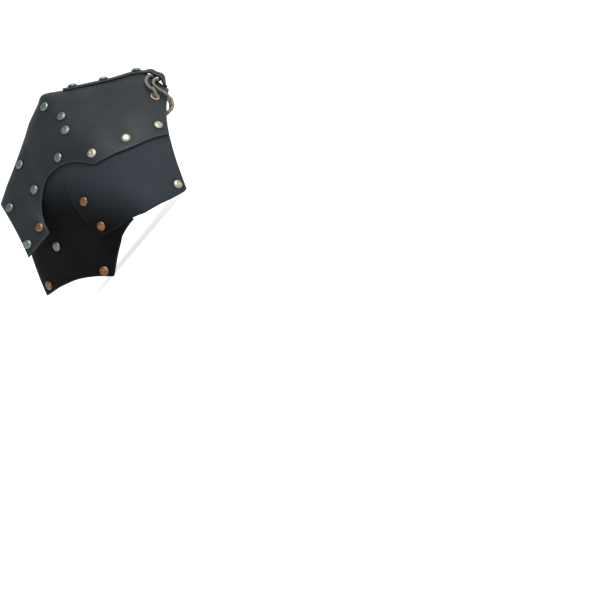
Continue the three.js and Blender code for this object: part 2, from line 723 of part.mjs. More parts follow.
const plateMeshes = {
  upper: new THREE.Mesh(upperShell, new THREE.MeshBasicMaterial({ side: THREE.DoubleSide })),
  lower: new THREE.Mesh(lowerShell, new THREE.MeshBasicMaterial({ side: THREE.DoubleSide })),
};
const strapMesh = new THREE.Mesh(strapShell, new THREE.MeshBasicMaterial({ side: THREE.DoubleSide }));
const towardsBack = new THREE.Vector3(0, 1, 0);
const farInFront = -2 * chestDepth;

const faceSeats = rivetRows.map(({ name, across, up, plate, layers }) => {
  const flat = place(across, up);
  const start = new THREE.Vector3(flat.x, farInFront, flat.y);
  const held = layers === 1 ? [plateMeshes[plate]] : [plateMeshes.upper, plateMeshes.lower];
  const meshes = plate === 'upper' ? held : [plateMeshes.lower];
  const { at, normal, depth } = throughPlates(start, towardsBack, meshes, layers);
  return { name, ...rivetSeat(at, normal, depth, meshes) };
});
const ridgeSeats = ridgeRivets.map(({ name, across }) => {
  const { at, normal } = ridgePoint(across);
  const top = at.clone().addScaledVector(normal, strapGap + strapLeather);
  const depth = strapGap + strapLeather + leather;
  return { name, ...rivetSeat(top, normal, depth, [strapMesh, plateMeshes.upper]) };
});
const eyeletFoot = throughPlates(
  new THREE.Vector3(place(eyeletPlace.across, 0).x, farInFront, place(0, eyeletPlace.up).y),
  towardsBack,
  [plateMeshes.upper],
  1,
);
const eyeletSeat = {
  at: eyeletFoot.at.clone().addScaledVector(
    eyeletFoot.normal,
    swellUnder(eyeletFoot.at, eyeletFoot.normal, eyeletFlange / 2, [plateMeshes.upper]),
  ),
  normal: eyeletFoot.normal,
};

const rivetSeats = [
  ...faceSeats.map((seat) => ({ ...seat, name: `${seat.name}_front` })),
  ...faceSeats.map((seat) => ({ ...seat, ...mirrored(seat), name: `${seat.name}_back` })),
  ...ridgeSeats,
];
const rivetHoles = holeCutter(rivetSeats, rivetPost / 2 + holeClearance, rivetSides);
const eyeletSeats = [eyeletSeat, mirrored(eyeletSeat)];
const eyeletHoles = holeCutter(eyeletSeats, eyeletBarrel / 2 + holeClearance, eyeletSides);

// Standing: turned about Y until the arm corner and the chest flap's neck corner are level
const armFoot = place(armRibs[2].lowAcross, armRibs[2].lowUp);
const neckFoot = place(flapRibs[0].lowAcross, flapRibs[0].lowUp);
const lowerPoints = pointsOf(lowerShell);

function pointsOf(geometry) {
  const { position } = geometry.attributes;
  return Array.from({ length: position.count }, (_, index) => (
    new THREE.Vector3().fromBufferAttribute(position, index)
  ));
}

function lowestNear(foot, tilt) {
  const near = lowerPoints.filter(({ x, z }) => Math.hypot(x - foot.x, z - foot.y) < footSearch * span);
  return Math.min(...near.map(({ x, z }) => z * Math.cos(tilt) - x * Math.sin(tilt)));
}

function standingTilt() {
  let [low, high] = [0, Math.PI / 2];
  while (high - low > 1e-7) {
    const middle = (low + high) / 2;
    if (lowestNear(armFoot, middle) < lowestNear(neckFoot, middle)) low = middle;
    else high = middle;
  }
  return low;
}

const tilt = standingTilt();
const floorHeight = lowestNear(armFoot, tilt) + footTrim;
const group = new THREE.Group();
group.rotation.y = tilt;
group.position.z = -floorHeight;
group.updateMatrixWorld(true);

// The block below the floor, in the frame of the worn pieces
function belowFloor() {
  const size = 2 * (span + rise);
  const block = new THREE.BoxGeometry(size, size, size).translate(0, 0, -size / 2);
  return solidOf(block.applyMatrix4(group.matrixWorld.clone().invert()));
}

function addPiece(name, geometry, paint) {
  const mesh = new THREE.Mesh(geometry, new THREE.MeshStandardMaterial(paint));
  mesh.name = name;
  group.add(mesh);
  return mesh;
}

const upperPlate = subtractAll(solidOf(upperShell), [...rivetHoles, ...eyeletHoles]);
const lowerPlate = subtractAll(solidOf(lowerShell), [...rivetHoles, belowFloor()]);
const ridgeStrap = subtractAll(solidOf(strapShell), rivetHoles);
addPiece('upper_plate', geometryOf(upperPlate), leatherPaint);
addPiece('lower_plate', geometryOf(lowerPlate), underLeatherPaint);
addPiece('ridge_strap', geometryOf(ridgeStrap), leatherPaint);
addPiece('lace', laceGeometry(), lacePaint);
placeAlong(addPiece('eyelet_front', eyeletGeometry(), brassPaint), eyeletSeat.at, eyeletSeat.normal);
const backEyelet = mirrored(eyeletSeat);
placeAlong(addPiece('eyelet_back', eyeletGeometry(), brassPaint), backEyelet.at, backEyelet.normal);
for (const { name, at, normal, grip } of rivetSeats) {
  placeAlong(addPiece(`rivet_${name}`, rivetGeometry(grip), brassPaint), at, normal);
}

// The origin is below the middle of the standing object
group.updateMatrixWorld(true);
const overall = new THREE.Box3().setFromObject(group, true);
group.position.x = -(overall.min.x + overall.max.x) / 2;

export default group;
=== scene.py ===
"""Looks for a leather pauldron: two riveted plates, a ridge strap, a lace, eyelets and domed rivets."""

import math

import bmesh
import bpy
import numpy as np
from mathutils import Matrix, Vector, kdtree, noise


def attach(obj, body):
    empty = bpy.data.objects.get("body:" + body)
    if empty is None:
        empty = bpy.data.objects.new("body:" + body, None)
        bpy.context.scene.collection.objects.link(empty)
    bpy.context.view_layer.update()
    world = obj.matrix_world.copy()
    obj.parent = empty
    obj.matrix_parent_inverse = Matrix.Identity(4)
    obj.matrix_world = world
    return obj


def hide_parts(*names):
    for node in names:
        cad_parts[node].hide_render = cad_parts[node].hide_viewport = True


MM = 0.001

# Sizes in millimetres, as worn: +X to the neck, -Y to the front, +Z up
SPAN = 222.0
RISE = 273.0
CHEST_DEPTH = 138.0
ARM_DEPTH = 114.0
LEATHER = 3.0
STRAP_LEATHER = 2.0
STRAP_GAP = 0.5
PIECE_GAP = 0.3
PLATE_GAP = 0.9
STRAP_HALF = 7.9
HUMP_RISE = 9.0
TUCK = 1.0
LACE_WIDTH = 4.0
LACE_TWIST = 17.0
WING_BLEND = 5.0
PUNCH_REACH = 12.0
STRAP_CORNER = 6.0
RIVET_HEAD = 11.5
RIVET_HEIGHT = 2.8
RIVET_POST = 4.0
RIVET_WASHER = 8.6
WASHER_HEIGHT = 1.2
LAYER = LEATHER + PLATE_GAP

# How the worn shape is turned about Y and moved so that it stands by itself
TILT = 0.8817166
STAND_X = -181.6053
STAND_Z = 88.0631

# The dome
POLE = np.array([0.805 * SPAN, 0.264 * RISE])
DOME_POWER = 1.5
RIDGE_ROUNDNESS = 0.06
FLANK_POWER = 0.3
SOFT_ANGLE = math.radians(16)
SOFT_POWER = 5
CHEST_ANGLE = math.radians(100)
ARM_ANGLE = math.radians(190)

# Fineness
RIB_STEPS = 12
CAP_ROWS = 46
ROW_SPREAD = 1.7
PLATE_STEPS = 64
NOSE_STEPS = 14
LINE_SAMPLES = 2400
STRAP_STEPS = 44
HUMP_STEPS = 34
STRAP_PARTS = 9
RIVET_SIDES = 28
EYELET_SIDES = 36
LACE_STEPS = 620
LACE_SIDES = 14

# The shoulder line and the wing's line, in shares of span and rise
BODY_LINE = [
    (1.346, 0.462), (1.249, 0.716), (1.076, 0.831), (0.913, 0.91), (0.848, 0.946), (0.775, 0.984),
    (0.589, 0.949), (0.336, 0.902), (0.22, 0.879), (0.197, 0.836), (0.151, 0.756), (0.11, 0.631),
    (0.094, 0.461), (0.113, 0.27), (0.163, 0.122), (0.23, -0.015), (0.32, -0.16), (0.508, -0.25),
]
WING_ROW = 11
WING_LINE = [
    (0.132, 0.705), (0.092, 0.612), (0.051, 0.525), (0.019, 0.454), (-0.004, 0.395), (-0.023, 0.335),
    (-0.045, 0.215), (-0.05, 0.08),
]
ARM_TOP_ROW = 10
ARM_TIP_ROW = 15

# Upper plate ribs: row on the ridge, edge across and up, bow and hug
CAP_RIBS = [
    (3, 0.903, 0.708, -0.015, 1), (3.76, 0.805, 0.686, 0, 1), (4.8, 0.697, 0.648, 0, 1),
    (5.55, 0.605, 0.618, 0, 1), (6.17, 0.503, 0.574, 0, 1), (6.64, 0.438, 0.582, 0, 1),
    (7.15, 0.373, 0.582, 0, 1), (8, 0.33, 0.569, 0, 1), (9, 0.281, 0.543, 0, 1),
    (10, 0.243, 0.501, 0, 1), (11, 0.224, 0.448, 0, 1), (12, 0.219, 0.4, 0, 1),
    (13, 0.232, 0.338, 0, 0.8), (14, 0.265, 0.277, 0, 0.5), (15, 0.151, 0.167, 0.009, 0),
]
CAP_CORNERS = [4, 13]
WING_BLEND_ROWS = (10, 12)

# Lower plate ribs: top, middle and low points, each across and up
FLAP_RIBS = [
    ((0.886, 0.804), (0.933, 0.637), (1, 0.47)),
    ((0.805, 0.791), (0.843, 0.602), (0.914, 0.435)),
    ((0.719, 0.769), (0.746, 0.571), (0.805, 0.392)),
    ((0.622, 0.752), (0.638, 0.549), (0.697, 0.343)),
    ((0.492, 0.778), (0.492, 0.523), (0.616, 0.295)),
    ((0.422, 0.804), (0.414, 0.507), (0.578, 0.279)),
    ((0.351, 0.826), (0.33, 0.488), (0.541, 0.264)),
]
DART_UNDERLAP = ((0.497, 0.453), (0.686, 0.325))
ARM_RIBS = [
    ((0.319, 0.822), (0.311, 0.462), (0.632, 0.255)),
    ((0.286, 0.804), (0.286, 0.426), (0.607, 0.171)),
    ((0.259, 0.787), (0.265, 0.4), (0.597, 0.084)),
    ((0.238, 0.774), (0.238, 0.396), (0.508, 0.084)),
    ((0.216, 0.765), (0.2, 0.396), (0.4, 0.067)),
    ((0.192, 0.758), (0.151, 0.391), (0.3, 0.028)),
]
ARM_CORNERS = [2]
DART_TIP_SHARE = 0.5
DART_OPEN_SHARE = 0.56
DART_REACH = 0.05
DART_FADE = 0.13

# Strap over the ridge, in shares of span, and its hump over the lace
STRAP_START = 0.335
STRAP_END = 0.9
HUMP = [(0.775, 0), (0.81, 0.64), (0.848, 1), (0.895, 0)]
HUMP_FALL = 0.35

# Lace stops: across, up, side and lift in lace widths; across is None where it passes an eyelet
LACE_ROUTE = [
    (0.765, 0.815, -1, -1.9), (0.8, 0.85, -1, -2.5), (None, None, -1, -1.8), (None, None, -1, 0.7),
    (0.814, 0.892, -1, 1.15), (0.793, 0.908, -1, 0.8), (0.782, 0.932, -1, 0.7), (0.793, 0.957, -1, 0.62),
    (0.828, 0, 0, 0.62), (0.793, 0.957, 1, 0.62), (0.782, 0.932, 1, 0.7), (0.793, 0.908, 1, 0.8),
    (0.814, 0.892, 1, 1.15), (None, None, 1, 0.7), (None, None, 1, -1.8), (0.845, 0.875, 1, -2.7),
    (0.86, 0, 0, -2.4), (0.875, 0.845, -1, -1.6), (0.898, 0.818, -1, -1.25), (0.924, 0.822, -1, -0.35),
    (0.92, 0.843, -1, 0.68), (0.891, 0.874, -1, 0.74), (0.85, 0.897, -1, 0.75), (0.822, 0.915, -1, 0.75),
    (0.82, 0.938, -1, 0.66), (0.853, 0, 0, 0.62), (0.82, 0.938, 1, 0.66), (0.822, 0.915, 1, 0.75),
    (0.85, 0.897, 1, 0.75), (0.891, 0.874, 1, 0.74), (0.92, 0.843, 1, 0.68), (0.924, 0.822, 1, -0.35),
    (0.898, 0.81, 1, -1.25), (0.86, 0.815, 1, -1.65),
]

# Rivets in lit and shaded copies of one brass: the listed lit ones pale, the warm list painted a copper-brown
# shade, the others painted a darker grey shade
WARM_SHADED_RIVETS = ["edge_6", "dart_1", "dart_2", "arm_2", "arm_3"]
LIT_RIVETS = ["edge_1", "edge_2", "edge_3", "flap"]


def smooth(value, start, end):
    share = np.clip((np.asarray(value, float) - start) / (end - start), 0, 1)
    return share * share * (3 - 2 * share)


def place(across, up):
    return np.array([across * SPAN, up * RISE], float)


class Run:
    """A smooth line through points, read by row number, broken at corners."""

    def __init__(self, points, corners=()):
        self.points = np.array(points, float)
        self.stops = [0, *corners, len(points) - 1]

    def at(self, row):
        index = next(i for i in range(1, len(self.stops)) if row <= self.stops[i] + 1e-9)
        first, last = self.stops[index - 1], self.stops[index]
        run = self.points[first:last + 1]
        step = min(int(row - first), last - first - 1)
        return between(run, step, row - first - step)


def between(run, step, share):
    """Centripetal Catmull-Rom between two points of a run."""
    one, two = run[step], run[step + 1]
    before = run[step - 1] if step > 0 else 2 * one - two
    after = run[step + 2] if step + 2 < len(run) else 2 * two - one
    gaps = [max(np.sum((b - a) ** 2) ** 0.25, 1e-4) for a, b in ((before, one), (one, two), (two, after))]
    start = (one - before) / gaps[0] - (two - before) / (gaps[0] + gaps[1]) + (two - one) / gaps[1]
    end = (two - one) / gaps[1] - (after - one) / (gaps[1] + gaps[2]) + (after - two) / gaps[2]
    start, end = start * gaps[1], end * gaps[1]
    rest = (-3 * one + 3 * two - 2 * start - end) * share ** 2
    return one + start * share + rest + (2 * one - 2 * two + start + end) * share ** 3


def angle_of(arm):
    angle = np.arctan2(arm[..., 1], arm[..., 0])
    return np.where(angle < -math.pi / 2, angle + 2 * math.pi, angle)


class DomeLine:
    """A line round the dome in the ridge plane, read as a distance from the pole in a direction."""

    def __init__(self, rows):
        self.run = Run([place(across, up) for across, up in rows])
        self.last = len(rows) - 1
        arms = np.array([self.run.at(row) for row in np.linspace(0, self.last, LINE_SAMPLES)]) - POLE
        self.angles = np.maximum.accumulate(angle_of(arms))
        self.radii = np.linalg.norm(arms, axis=1)
        near = np.maximum(0, 1 - np.abs(self.angles[:, None] - self.angles) / SOFT_ANGLE)
        self.softened = near @ self.radii / near.sum(1)

    def depth(self, flat):
        arm = np.asarray(flat, float) - POLE
        angle = angle_of(arm)
        length = np.linalg.norm(arm, axis=-1)
        radius = np.interp(angle, self.angles, self.radii)
        softened = np.interp(angle, self.angles, self.softened)
        reach = np.minimum(length / radius, 1)
        outward = np.minimum(length / (softened + (radius - softened) * reach ** SOFT_POWER), 1)
        remaining = 1 - outward ** DOME_POWER
        turn = smooth(angle, CHEST_ANGLE, ARM_ANGLE)
        half = CHEST_DEPTH + (ARM_DEPTH - CHEST_DEPTH) * turn
        return half * np.sqrt(remaining) * (remaining + RIDGE_ROUNDNESS) ** FLANK_POWER


body = DomeLine(BODY_LINE)
cap = DomeLine(BODY_LINE[:WING_ROW] + WING_LINE)


def along_rib(top, middle, low, share):
    share = np.asarray(share, float)[:, None]
    return (
        top * (2 * share - 1) * (share - 1)
        + middle * 4 * share * (1 - share)
        + low * share * (2 * share - 1)
    )


def upper_columns():
    ridge = Run([(row[0], 0) for row in CAP_RIBS])
    edge = Run([place(row[1], row[2]) for row in CAP_RIBS], CAP_CORNERS)
    traits = Run([(row[3] * SPAN, row[4]) for row in CAP_RIBS], CAP_CORNERS)
    shares = (np.arange(CAP_ROWS + 1) / CAP_ROWS) ** ROW_SPREAD
    columns = []
    for step in range((len(CAP_RIBS) - 1) * RIB_STEPS + 1):
        row = step / RIB_STEPS
        start, end = cap.run.at(ridge.at(row)[0]), edge.at(row)
        bow, hug = traits.at(row)
        pull = (body.depth(end) - cap.depth(end)) * hug
        flat = start + (end - start) * shares[:, None]
        flat[:, 0] += bow * 4 * shares * (1 - shares)
        flared, plain = cap.depth(flat) + pull * shares, body.depth(flat)
        round_off = WING_BLEND * smooth(row, *WING_BLEND_ROWS) * smooth(shares, 0, 0.12)
        depth = (flared + plain + np.sqrt((flared - plain) ** 2 + round_off ** 2)) / 2
        depth[0] = 0
        columns.append((flat, depth, np.zeros(len(shares))))
    return columns


def dart_sink(flat):
    tip, low = place(*FLAP_RIBS[-1][1]), place(*FLAP_RIBS[-1][2])
    dart = (low - tip) / np.linalg.norm(low - tip)
    offset = flat - tip
    along = offset @ dart
    under = dart[0] * offset[:, 1] - dart[1] * offset[:, 0]
    return LAYER * smooth(along, 0, DART_REACH * SPAN) * smooth(under, -DART_FADE * SPAN, 0)


def rib_runs(ribs, corners=()):
    return [
        Run([place(*rib[0]) for rib in ribs]),
        Run([place(*rib[1]) for rib in ribs]),
        Run([place(*rib[2]) for rib in ribs], corners),
    ]


def lower_columns():
    """The chest flap's columns and the arm part's, each with its depth and its sink under the flap."""
    shares = np.arange(PLATE_STEPS + 1) / PLATE_STEPS
    tops, middles, lows = rib_runs(FLAP_RIBS)
    rows = np.arange((len(FLAP_RIBS) - 1) * RIB_STEPS + 1) / RIB_STEPS
    flap = [along_rib(tops.at(r), middles.at(r), lows.at(r), shares) for r in rows]
    dart_edge = flap[-1]
    tip = dart_edge[int(DART_TIP_SHARE * PLATE_STEPS)]
    opened = np.clip((shares - DART_TIP_SHARE) / (DART_OPEN_SHARE - DART_TIP_SHARE), 0, 1)
    beside = dart_edge + np.outer(opened, [TUCK, 0])
    down = np.clip((shares - DART_TIP_SHARE) / (1 - DART_TIP_SHARE), 0, 1)
    hidden = along_rib(tip, place(*DART_UNDERLAP[0]), place(*DART_UNDERLAP[1]), down)
    turn = smooth(shares, DART_OPEN_SHARE, 0.7)[:, None]
    under_edge = beside * (1 - turn) + hidden * turn
    tops, middles, lows = rib_runs(ARM_RIBS, ARM_CORNERS)
    rows = np.arange((len(ARM_RIBS) - 1) * RIB_STEPS + 1) / RIB_STEPS
    ribs = [along_rib(tops.at(r), middles.at(r), lows.at(r), shares) for r in rows]
    lead = [under_edge + (ribs[0] - under_edge) * k / RIB_STEPS for k in range(RIB_STEPS)]
    arm = lead + ribs
    nose = np.array([body.run.at(ARM_TOP_ROW + (ARM_TIP_ROW - ARM_TOP_ROW) * s) for s in shares])
    last = arm[-1]
    for step in range(1, NOSE_STEPS + 1):
        share = 1 - (1 - step / NOSE_STEPS) ** 2
        arm.append(last + (nose - last) * share)
    flap_columns = [(flat, body.depth(flat), np.zeros(len(shares))) for flat in flap]
    arm_columns = []
    for number, flat in enumerate(arm):
        depth = body.depth(flat)
        if number == len(arm) - 1:
            depth = depth * 0
        sink = np.where(shares > DART_TIP_SHARE, dart_sink(flat), 0)
        start = LAYER * opened * max(0, 1 - number / 5) ** 2
        arm_columns.append((flat, depth, np.maximum(sink, start)))
    return flap_columns, arm_columns


class Sheet:
    """Quads welded into one sheet of points, each with a normal and a sink."""

    def __init__(self):
        self.points = []
        self.sinks = []
        self.known = {}
        self.faces = []

    def spot(self, point, sink):
        key = (*np.round(point, 3), round(float(sink), 3))
        if key not in self.known:
            self.known[key] = len(self.points)
            self.points.append(point)
            self.sinks.append(sink)
        return self.known[key]

    def add(self, columns, side):
        numbers = [
            [
                self.spot((flat[k][0], side * depth[k], flat[k][1]), sink[k])
                for k in range(len(flat))
            ]
            for flat, depth, sink in columns
        ]
        for here, there in zip(numbers, numbers[1:]):
            for k in range(len(here) - 1):
                quad = [here[k], there[k], there[k + 1], here[k + 1]]
                if side > 0:
                    quad.reverse()
                self.faces.append(quad)

    def finish(self):
        self.points = np.array(self.points)
        self.sinks = np.array(self.sinks)
        quads = np.array(self.faces)
        across = self.points[quads[:, 2]] - self.points[quads[:, 0]]
        down = self.points[quads[:, 3]] - self.points[quads[:, 1]]
        normal = np.cross(across, down)
        self.normals = np.zeros_like(self.points)
        for corner in range(4):
            np.add.at(self.normals, quads[:, corner], normal)
        self.normals /= np.maximum(np.linalg.norm(self.normals, axis=1, keepdims=True), 1e-9)
        return self

    def border(self):
        used = {(quad[k], quad[(k + 1) % 4]) for quad in self.faces for k in range(4)}
        return [(a, b) for a, b in used if (b, a) not in used]


def standing(points):
    """Worn millimetres to the standing frame in metres."""
    points = np.asarray(points, float)
    stood = np.empty_like(points)
    stood[..., 0] = points[..., 0] * math.cos(TILT) + points[..., 2] * math.sin(TILT) + STAND_X
    stood[..., 1] = points[..., 1]
    stood[..., 2] = -points[..., 0] * math.sin(TILT) + points[..., 2] * math.cos(TILT) + STAND_Z
    return stood * MM


def seated(seat, axis):
    """The move of a body turned round +Z to a seat and its axis."""
    return Matrix.Translation(seat) @ Vector((0, 0, 1)).rotation_difference(axis).to_matrix().to_4x4()


def read_turned_node(node):
    """A turned node's seat, axis and grip, in metres: the seat is where it is widest."""
    points = np.array([vertex.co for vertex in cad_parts[node].data.vertices], float)
    points = np.unique(np.round(points, 6), axis=0)
    middle = points.mean(0)
    widths, directions = np.linalg.eigh(np.cov((points - middle).T))
    odd = int(np.argmax(np.abs(widths - np.median(widths))))
    axis = directions[:, odd]
    along = (points - middle) @ axis
    wide = np.linalg.norm((points - middle) - np.outer(along, axis), axis=1)
    widest = along[wide > wide.max() - 5e-5]
    if abs(along.max() - widest.mean()) > abs(widest.mean() - along.min()):
        axis, along, widest = -axis, -along, -widest
    return middle, Vector(axis), along, widest


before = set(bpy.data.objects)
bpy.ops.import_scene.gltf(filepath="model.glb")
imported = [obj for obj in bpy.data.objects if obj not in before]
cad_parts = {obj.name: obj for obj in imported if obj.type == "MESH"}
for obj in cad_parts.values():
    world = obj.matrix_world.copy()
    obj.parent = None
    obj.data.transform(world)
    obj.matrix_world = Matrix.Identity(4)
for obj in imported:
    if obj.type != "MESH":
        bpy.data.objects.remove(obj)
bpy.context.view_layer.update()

rivet_names = [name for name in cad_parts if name.startswith("rivet_")]
rivet_places = {}
for name in rivet_names:
    middle, axis, along, widest = read_turned_node(name)
    seat = Vector(middle) + axis * float(widest.mean())
    rivet_places[name] = (seat, axis, float(widest.mean() - along.min()) - WASHER_HEIGHT * MM)
eyelet_places = {}
for name in ("eyelet_front", "eyelet_back"):
    middle, axis, along, widest = read_turned_node(name)
    eyelet_places[name] = (Vector(middle) + axis * float(widest.min()), axis)


def distances_to(points, targets):
    tree = kdtree.KDTree(len(targets))
    for number, target in enumerate(targets):
        tree.insert(target, number)
    tree.balance()
    return np.array([tree.find(point)[2] for point in points])


def solid_from(sheet, name, outer, inner, ripple, rim):
    """A thick object between two offsets of a sheet, with rounded rims and the maps that its leather uses."""
    rest = standing(sheet.points)
    normals = standing(sheet.points + sheet.normals) - rest
    normals /= np.linalg.norm(normals, axis=1, keepdims=True)
    rivets = [seat for seat, _, _ in rivet_places.values()]
    to_rivet = distances_to(rest, rivets)
    border = sheet.border()
    under = sheet.sinks > 1
    to_edge = np.empty(len(rest))
    for layer in (under, ~under):
        if layer.any():
            to_edge[layer] = distances_to(rest[layer], [rest[a] for a, _ in border if layer[a]])
    waves = np.array([noise.noise(Vector(p) * 26) + 0.5 * noise.noise(Vector(p) * 61) for p in rest])
    calm = smooth(to_rivet, 0.006, 0.018)
    shift = waves * calm * ripple * MM
    outside = rest + normals * (outer(sheet) * MM + shift)[:, None]
    inside = rest + normals * (inner(sheet) * MM + shift)[:, None]
    mesh = bpy.data.meshes.new(name)
    count = len(rest)
    faces = [list(quad) for quad in sheet.faces]
    faces += [[count + k for k in reversed(quad)] for quad in sheet.faces]
    faces += [[b, a, count + a, count + b] for a, b in border]
    mesh.from_pydata([*map(tuple, outside), *map(tuple, inside)], [], faces)
    across, up = sheet.points[:, 0] / SPAN, sheet.points[:, 2] / RISE
    # Painted light: a share that rises toward the top and the neck side, used to mix a lighter painted lit
    # tone into the lower plate
    lit = smooth(up + 0.25 * across, 0.42, 0.66)
    for key, values in (("to_rivet", to_rivet), ("to_edge", to_edge), ("lit", lit)):
        attribute = mesh.attributes.new(key, "FLOAT", "POINT")
        attribute.data.foreach_set("value", np.tile(values, 2).astype(np.float32))
    shape = bmesh.new()
    shape.from_mesh(mesh)
    shape.verts.ensure_lookup_table()
    wall_start = 2 * len(sheet.faces)
    shape.faces.ensure_lookup_table()
    walls = set(shape.faces[wall_start:])
    rims = [e for e in shape.edges if len(e.link_faces) == 2 and sum(f in walls for f in e.link_faces) == 1]
    bmesh.ops.bevel(
        shape, geom=rims, offset=rim * MM, segments=3, profile=0.5, affect="EDGES", clamp_overlap=True
    )
    shape.to_mesh(mesh)
    shape.free()
    mesh.shade_smooth()
    obj = bpy.data.objects.new(name, mesh)
    bpy.context.scene.collection.objects.link(obj)
    return obj


def punch(obj, seats, radius):
    """Takes out the faces within a radius of an axis near each seat."""
    shape = bmesh.new()
    shape.from_mesh(obj.data)
    gone = []
    for face in shape.faces:
        middle = face.calc_center_median()
        for seat, axis in seats:
            offset = middle - seat
            along = offset.dot(axis)
            if abs(along) < PUNCH_REACH * MM and (offset - axis * along).length < radius * MM:
                gone.append(face)
    bmesh.ops.delete(shape, geom=gone, context="FACES")
    shape.to_mesh(obj.data)
    shape.free()


def turned_mesh(name, profile, sides, closed):
    """A body turned round +Z from rows of radius and height, in millimetres."""
    shape = bmesh.new()
    rings = []
    for radius, height in profile:
        if radius < 1e-6:
            rings.append([shape.verts.new((0, 0, height * MM))])
            continue
        angles = [2 * math.pi * k / sides for k in range(sides)]
        rings.append([
            shape.verts.new((radius * math.cos(a) * MM, radius * math.sin(a) * MM, height * MM))
            for a in angles
        ])
    pairs = list(zip(rings, rings[1:]))
    if closed:
        pairs.append((rings[-1], rings[0]))
    for low, high in pairs:
        for k in range(sides):
            n = (k + 1) % sides
            if len(low) == 1:
                shape.faces.new((low[0], high[k], high[n]))
            elif len(high) == 1:
                shape.faces.new((low[k], low[n], high[0]))
            else:
                shape.faces.new((low[k], low[n], high[n], high[k]))
    bmesh.ops.recalc_face_normals(shape, faces=shape.faces)
    mesh = bpy.data.meshes.new(name)
    shape.to_mesh(mesh)
    shape.free()
    mesh.shade_smooth()
    return mesh


def arc(radius, height, out, up, start, end, steps):
    """Points on an ellipse about (radius, height), from one angle to another in degrees."""
    angles = np.radians(np.linspace(start, end, steps))
    return [(radius + out * math.cos(a), height + up * math.sin(a)) for a in angles]


def rivet_profile(grip):
    head = RIVET_HEAD / 2
    post = RIVET_POST / 2
    washer = RIVET_WASHER / 2
    low = -grip - WASHER_HEIGHT
    return [
        (0, RIVET_HEIGHT * 0.86),
        (head * 0.24, RIVET_HEIGHT * 0.86),
        (head * 0.3, RIVET_HEIGHT * 0.9),
        (head * 0.42, RIVET_HEIGHT * 0.93),
        (head * 0.62, RIVET_HEIGHT * 0.84),
        (head * 0.78, RIVET_HEIGHT * 0.66),
        (head * 0.88, RIVET_HEIGHT * 0.5),
        (head * 0.93, RIVET_HEIGHT * 0.4),
        (head * 0.985, RIVET_HEIGHT * 0.26),
        (head, RIVET_HEIGHT * 0.1),
        (head * 0.99, -0.1),
        (head * 0.94, -PIECE_GAP - 0.15),
        (head * 0.8, -PIECE_GAP),
        (post, -PIECE_GAP),
        (post, -grip),
        (washer * 0.86, -grip),
        (washer * 0.97, -grip - WASHER_HEIGHT * 0.15),
        (washer, -grip - WASHER_HEIGHT * 0.4),
        (washer * 0.96, -grip - WASHER_HEIGHT * 0.75),
        (washer * 0.84, low),
        (post * 1.5, low),
        (post * 1.3, low + 0.35),
        (post * 1.05, low + 0.35),
        (post * 0.8, low + 0.1),
        (0, low + 0.1),
    ]


def material(name):
    paint = bpy.data.materials.new(name)
    paint.use_nodes = True
    nodes = paint.node_tree.nodes
    return paint, nodes, paint.node_tree.links, nodes["Principled BSDF"]


def textured(nodes, links, kind, scale, **sockets):
    texture = nodes.new(kind)
    texture.inputs["Scale"].default_value = scale
    for socket, value in sockets.items():
        texture.inputs[socket.replace("_", " ")].default_value = value
    coordinates = nodes.new("ShaderNodeTexCoord")
    links.new(coordinates.outputs["Object"], texture.inputs["Vector"])
    return texture


def ramp(nodes, links, source, stops):
    node = nodes.new("ShaderNodeValToRGB")
    links.new(source, node.inputs["Fac"])
    while len(node.color_ramp.elements) < len(stops):
        node.color_ramp.elements.new(0.5)
    for element, (position, colour) in zip(node.color_ramp.elements, stops):
        element.position = position
        element.color = (*colour, 1)
    return node.outputs["Color"]


def spread(nodes, links, source, low, high, to_low, to_high):
    node = nodes.new("ShaderNodeMapRange")
    node.inputs["From Min"].default_value = low
    node.inputs["From Max"].default_value = high
    node.inputs["To Min"].default_value = to_low
    node.inputs["To Max"].default_value = to_high
    links.new(source, node.inputs["Value"])
    return node.outputs["Result"]


def mixed(nodes, links, factor, one, two):
    node = nodes.new("ShaderNodeMix")
    node.data_type = "RGBA"
    links.new(factor, node.inputs["Factor"])
    for socket, value in ((node.inputs[6], one), (node.inputs[7], two)):
        if isinstance(value, tuple):
            socket.default_value = (*value, 1)
        else:
            links.new(value, socket)
    return node.outputs[2]


def times(nodes, links, one, two):
    node = nodes.new("ShaderNodeMath")
    node.operation = "MULTIPLY"
    links.new(one, node.inputs[0])
    if isinstance(two, (int, float)):
        node.inputs[1].default_value = two
    else:
        links.new(two, node.inputs[1])
    return node.outputs[0]


def bumped(nodes, links, height, strength, distance, below=None):
    node = nodes.new("ShaderNodeBump")
    node.inputs["Strength"].default_value = strength
    node.inputs["Distance"].default_value = distance
    links.new(height, node.inputs["Height"])
    if below is not None:
        links.new(below, node.inputs["Normal"])
    return node.outputs["Normal"]


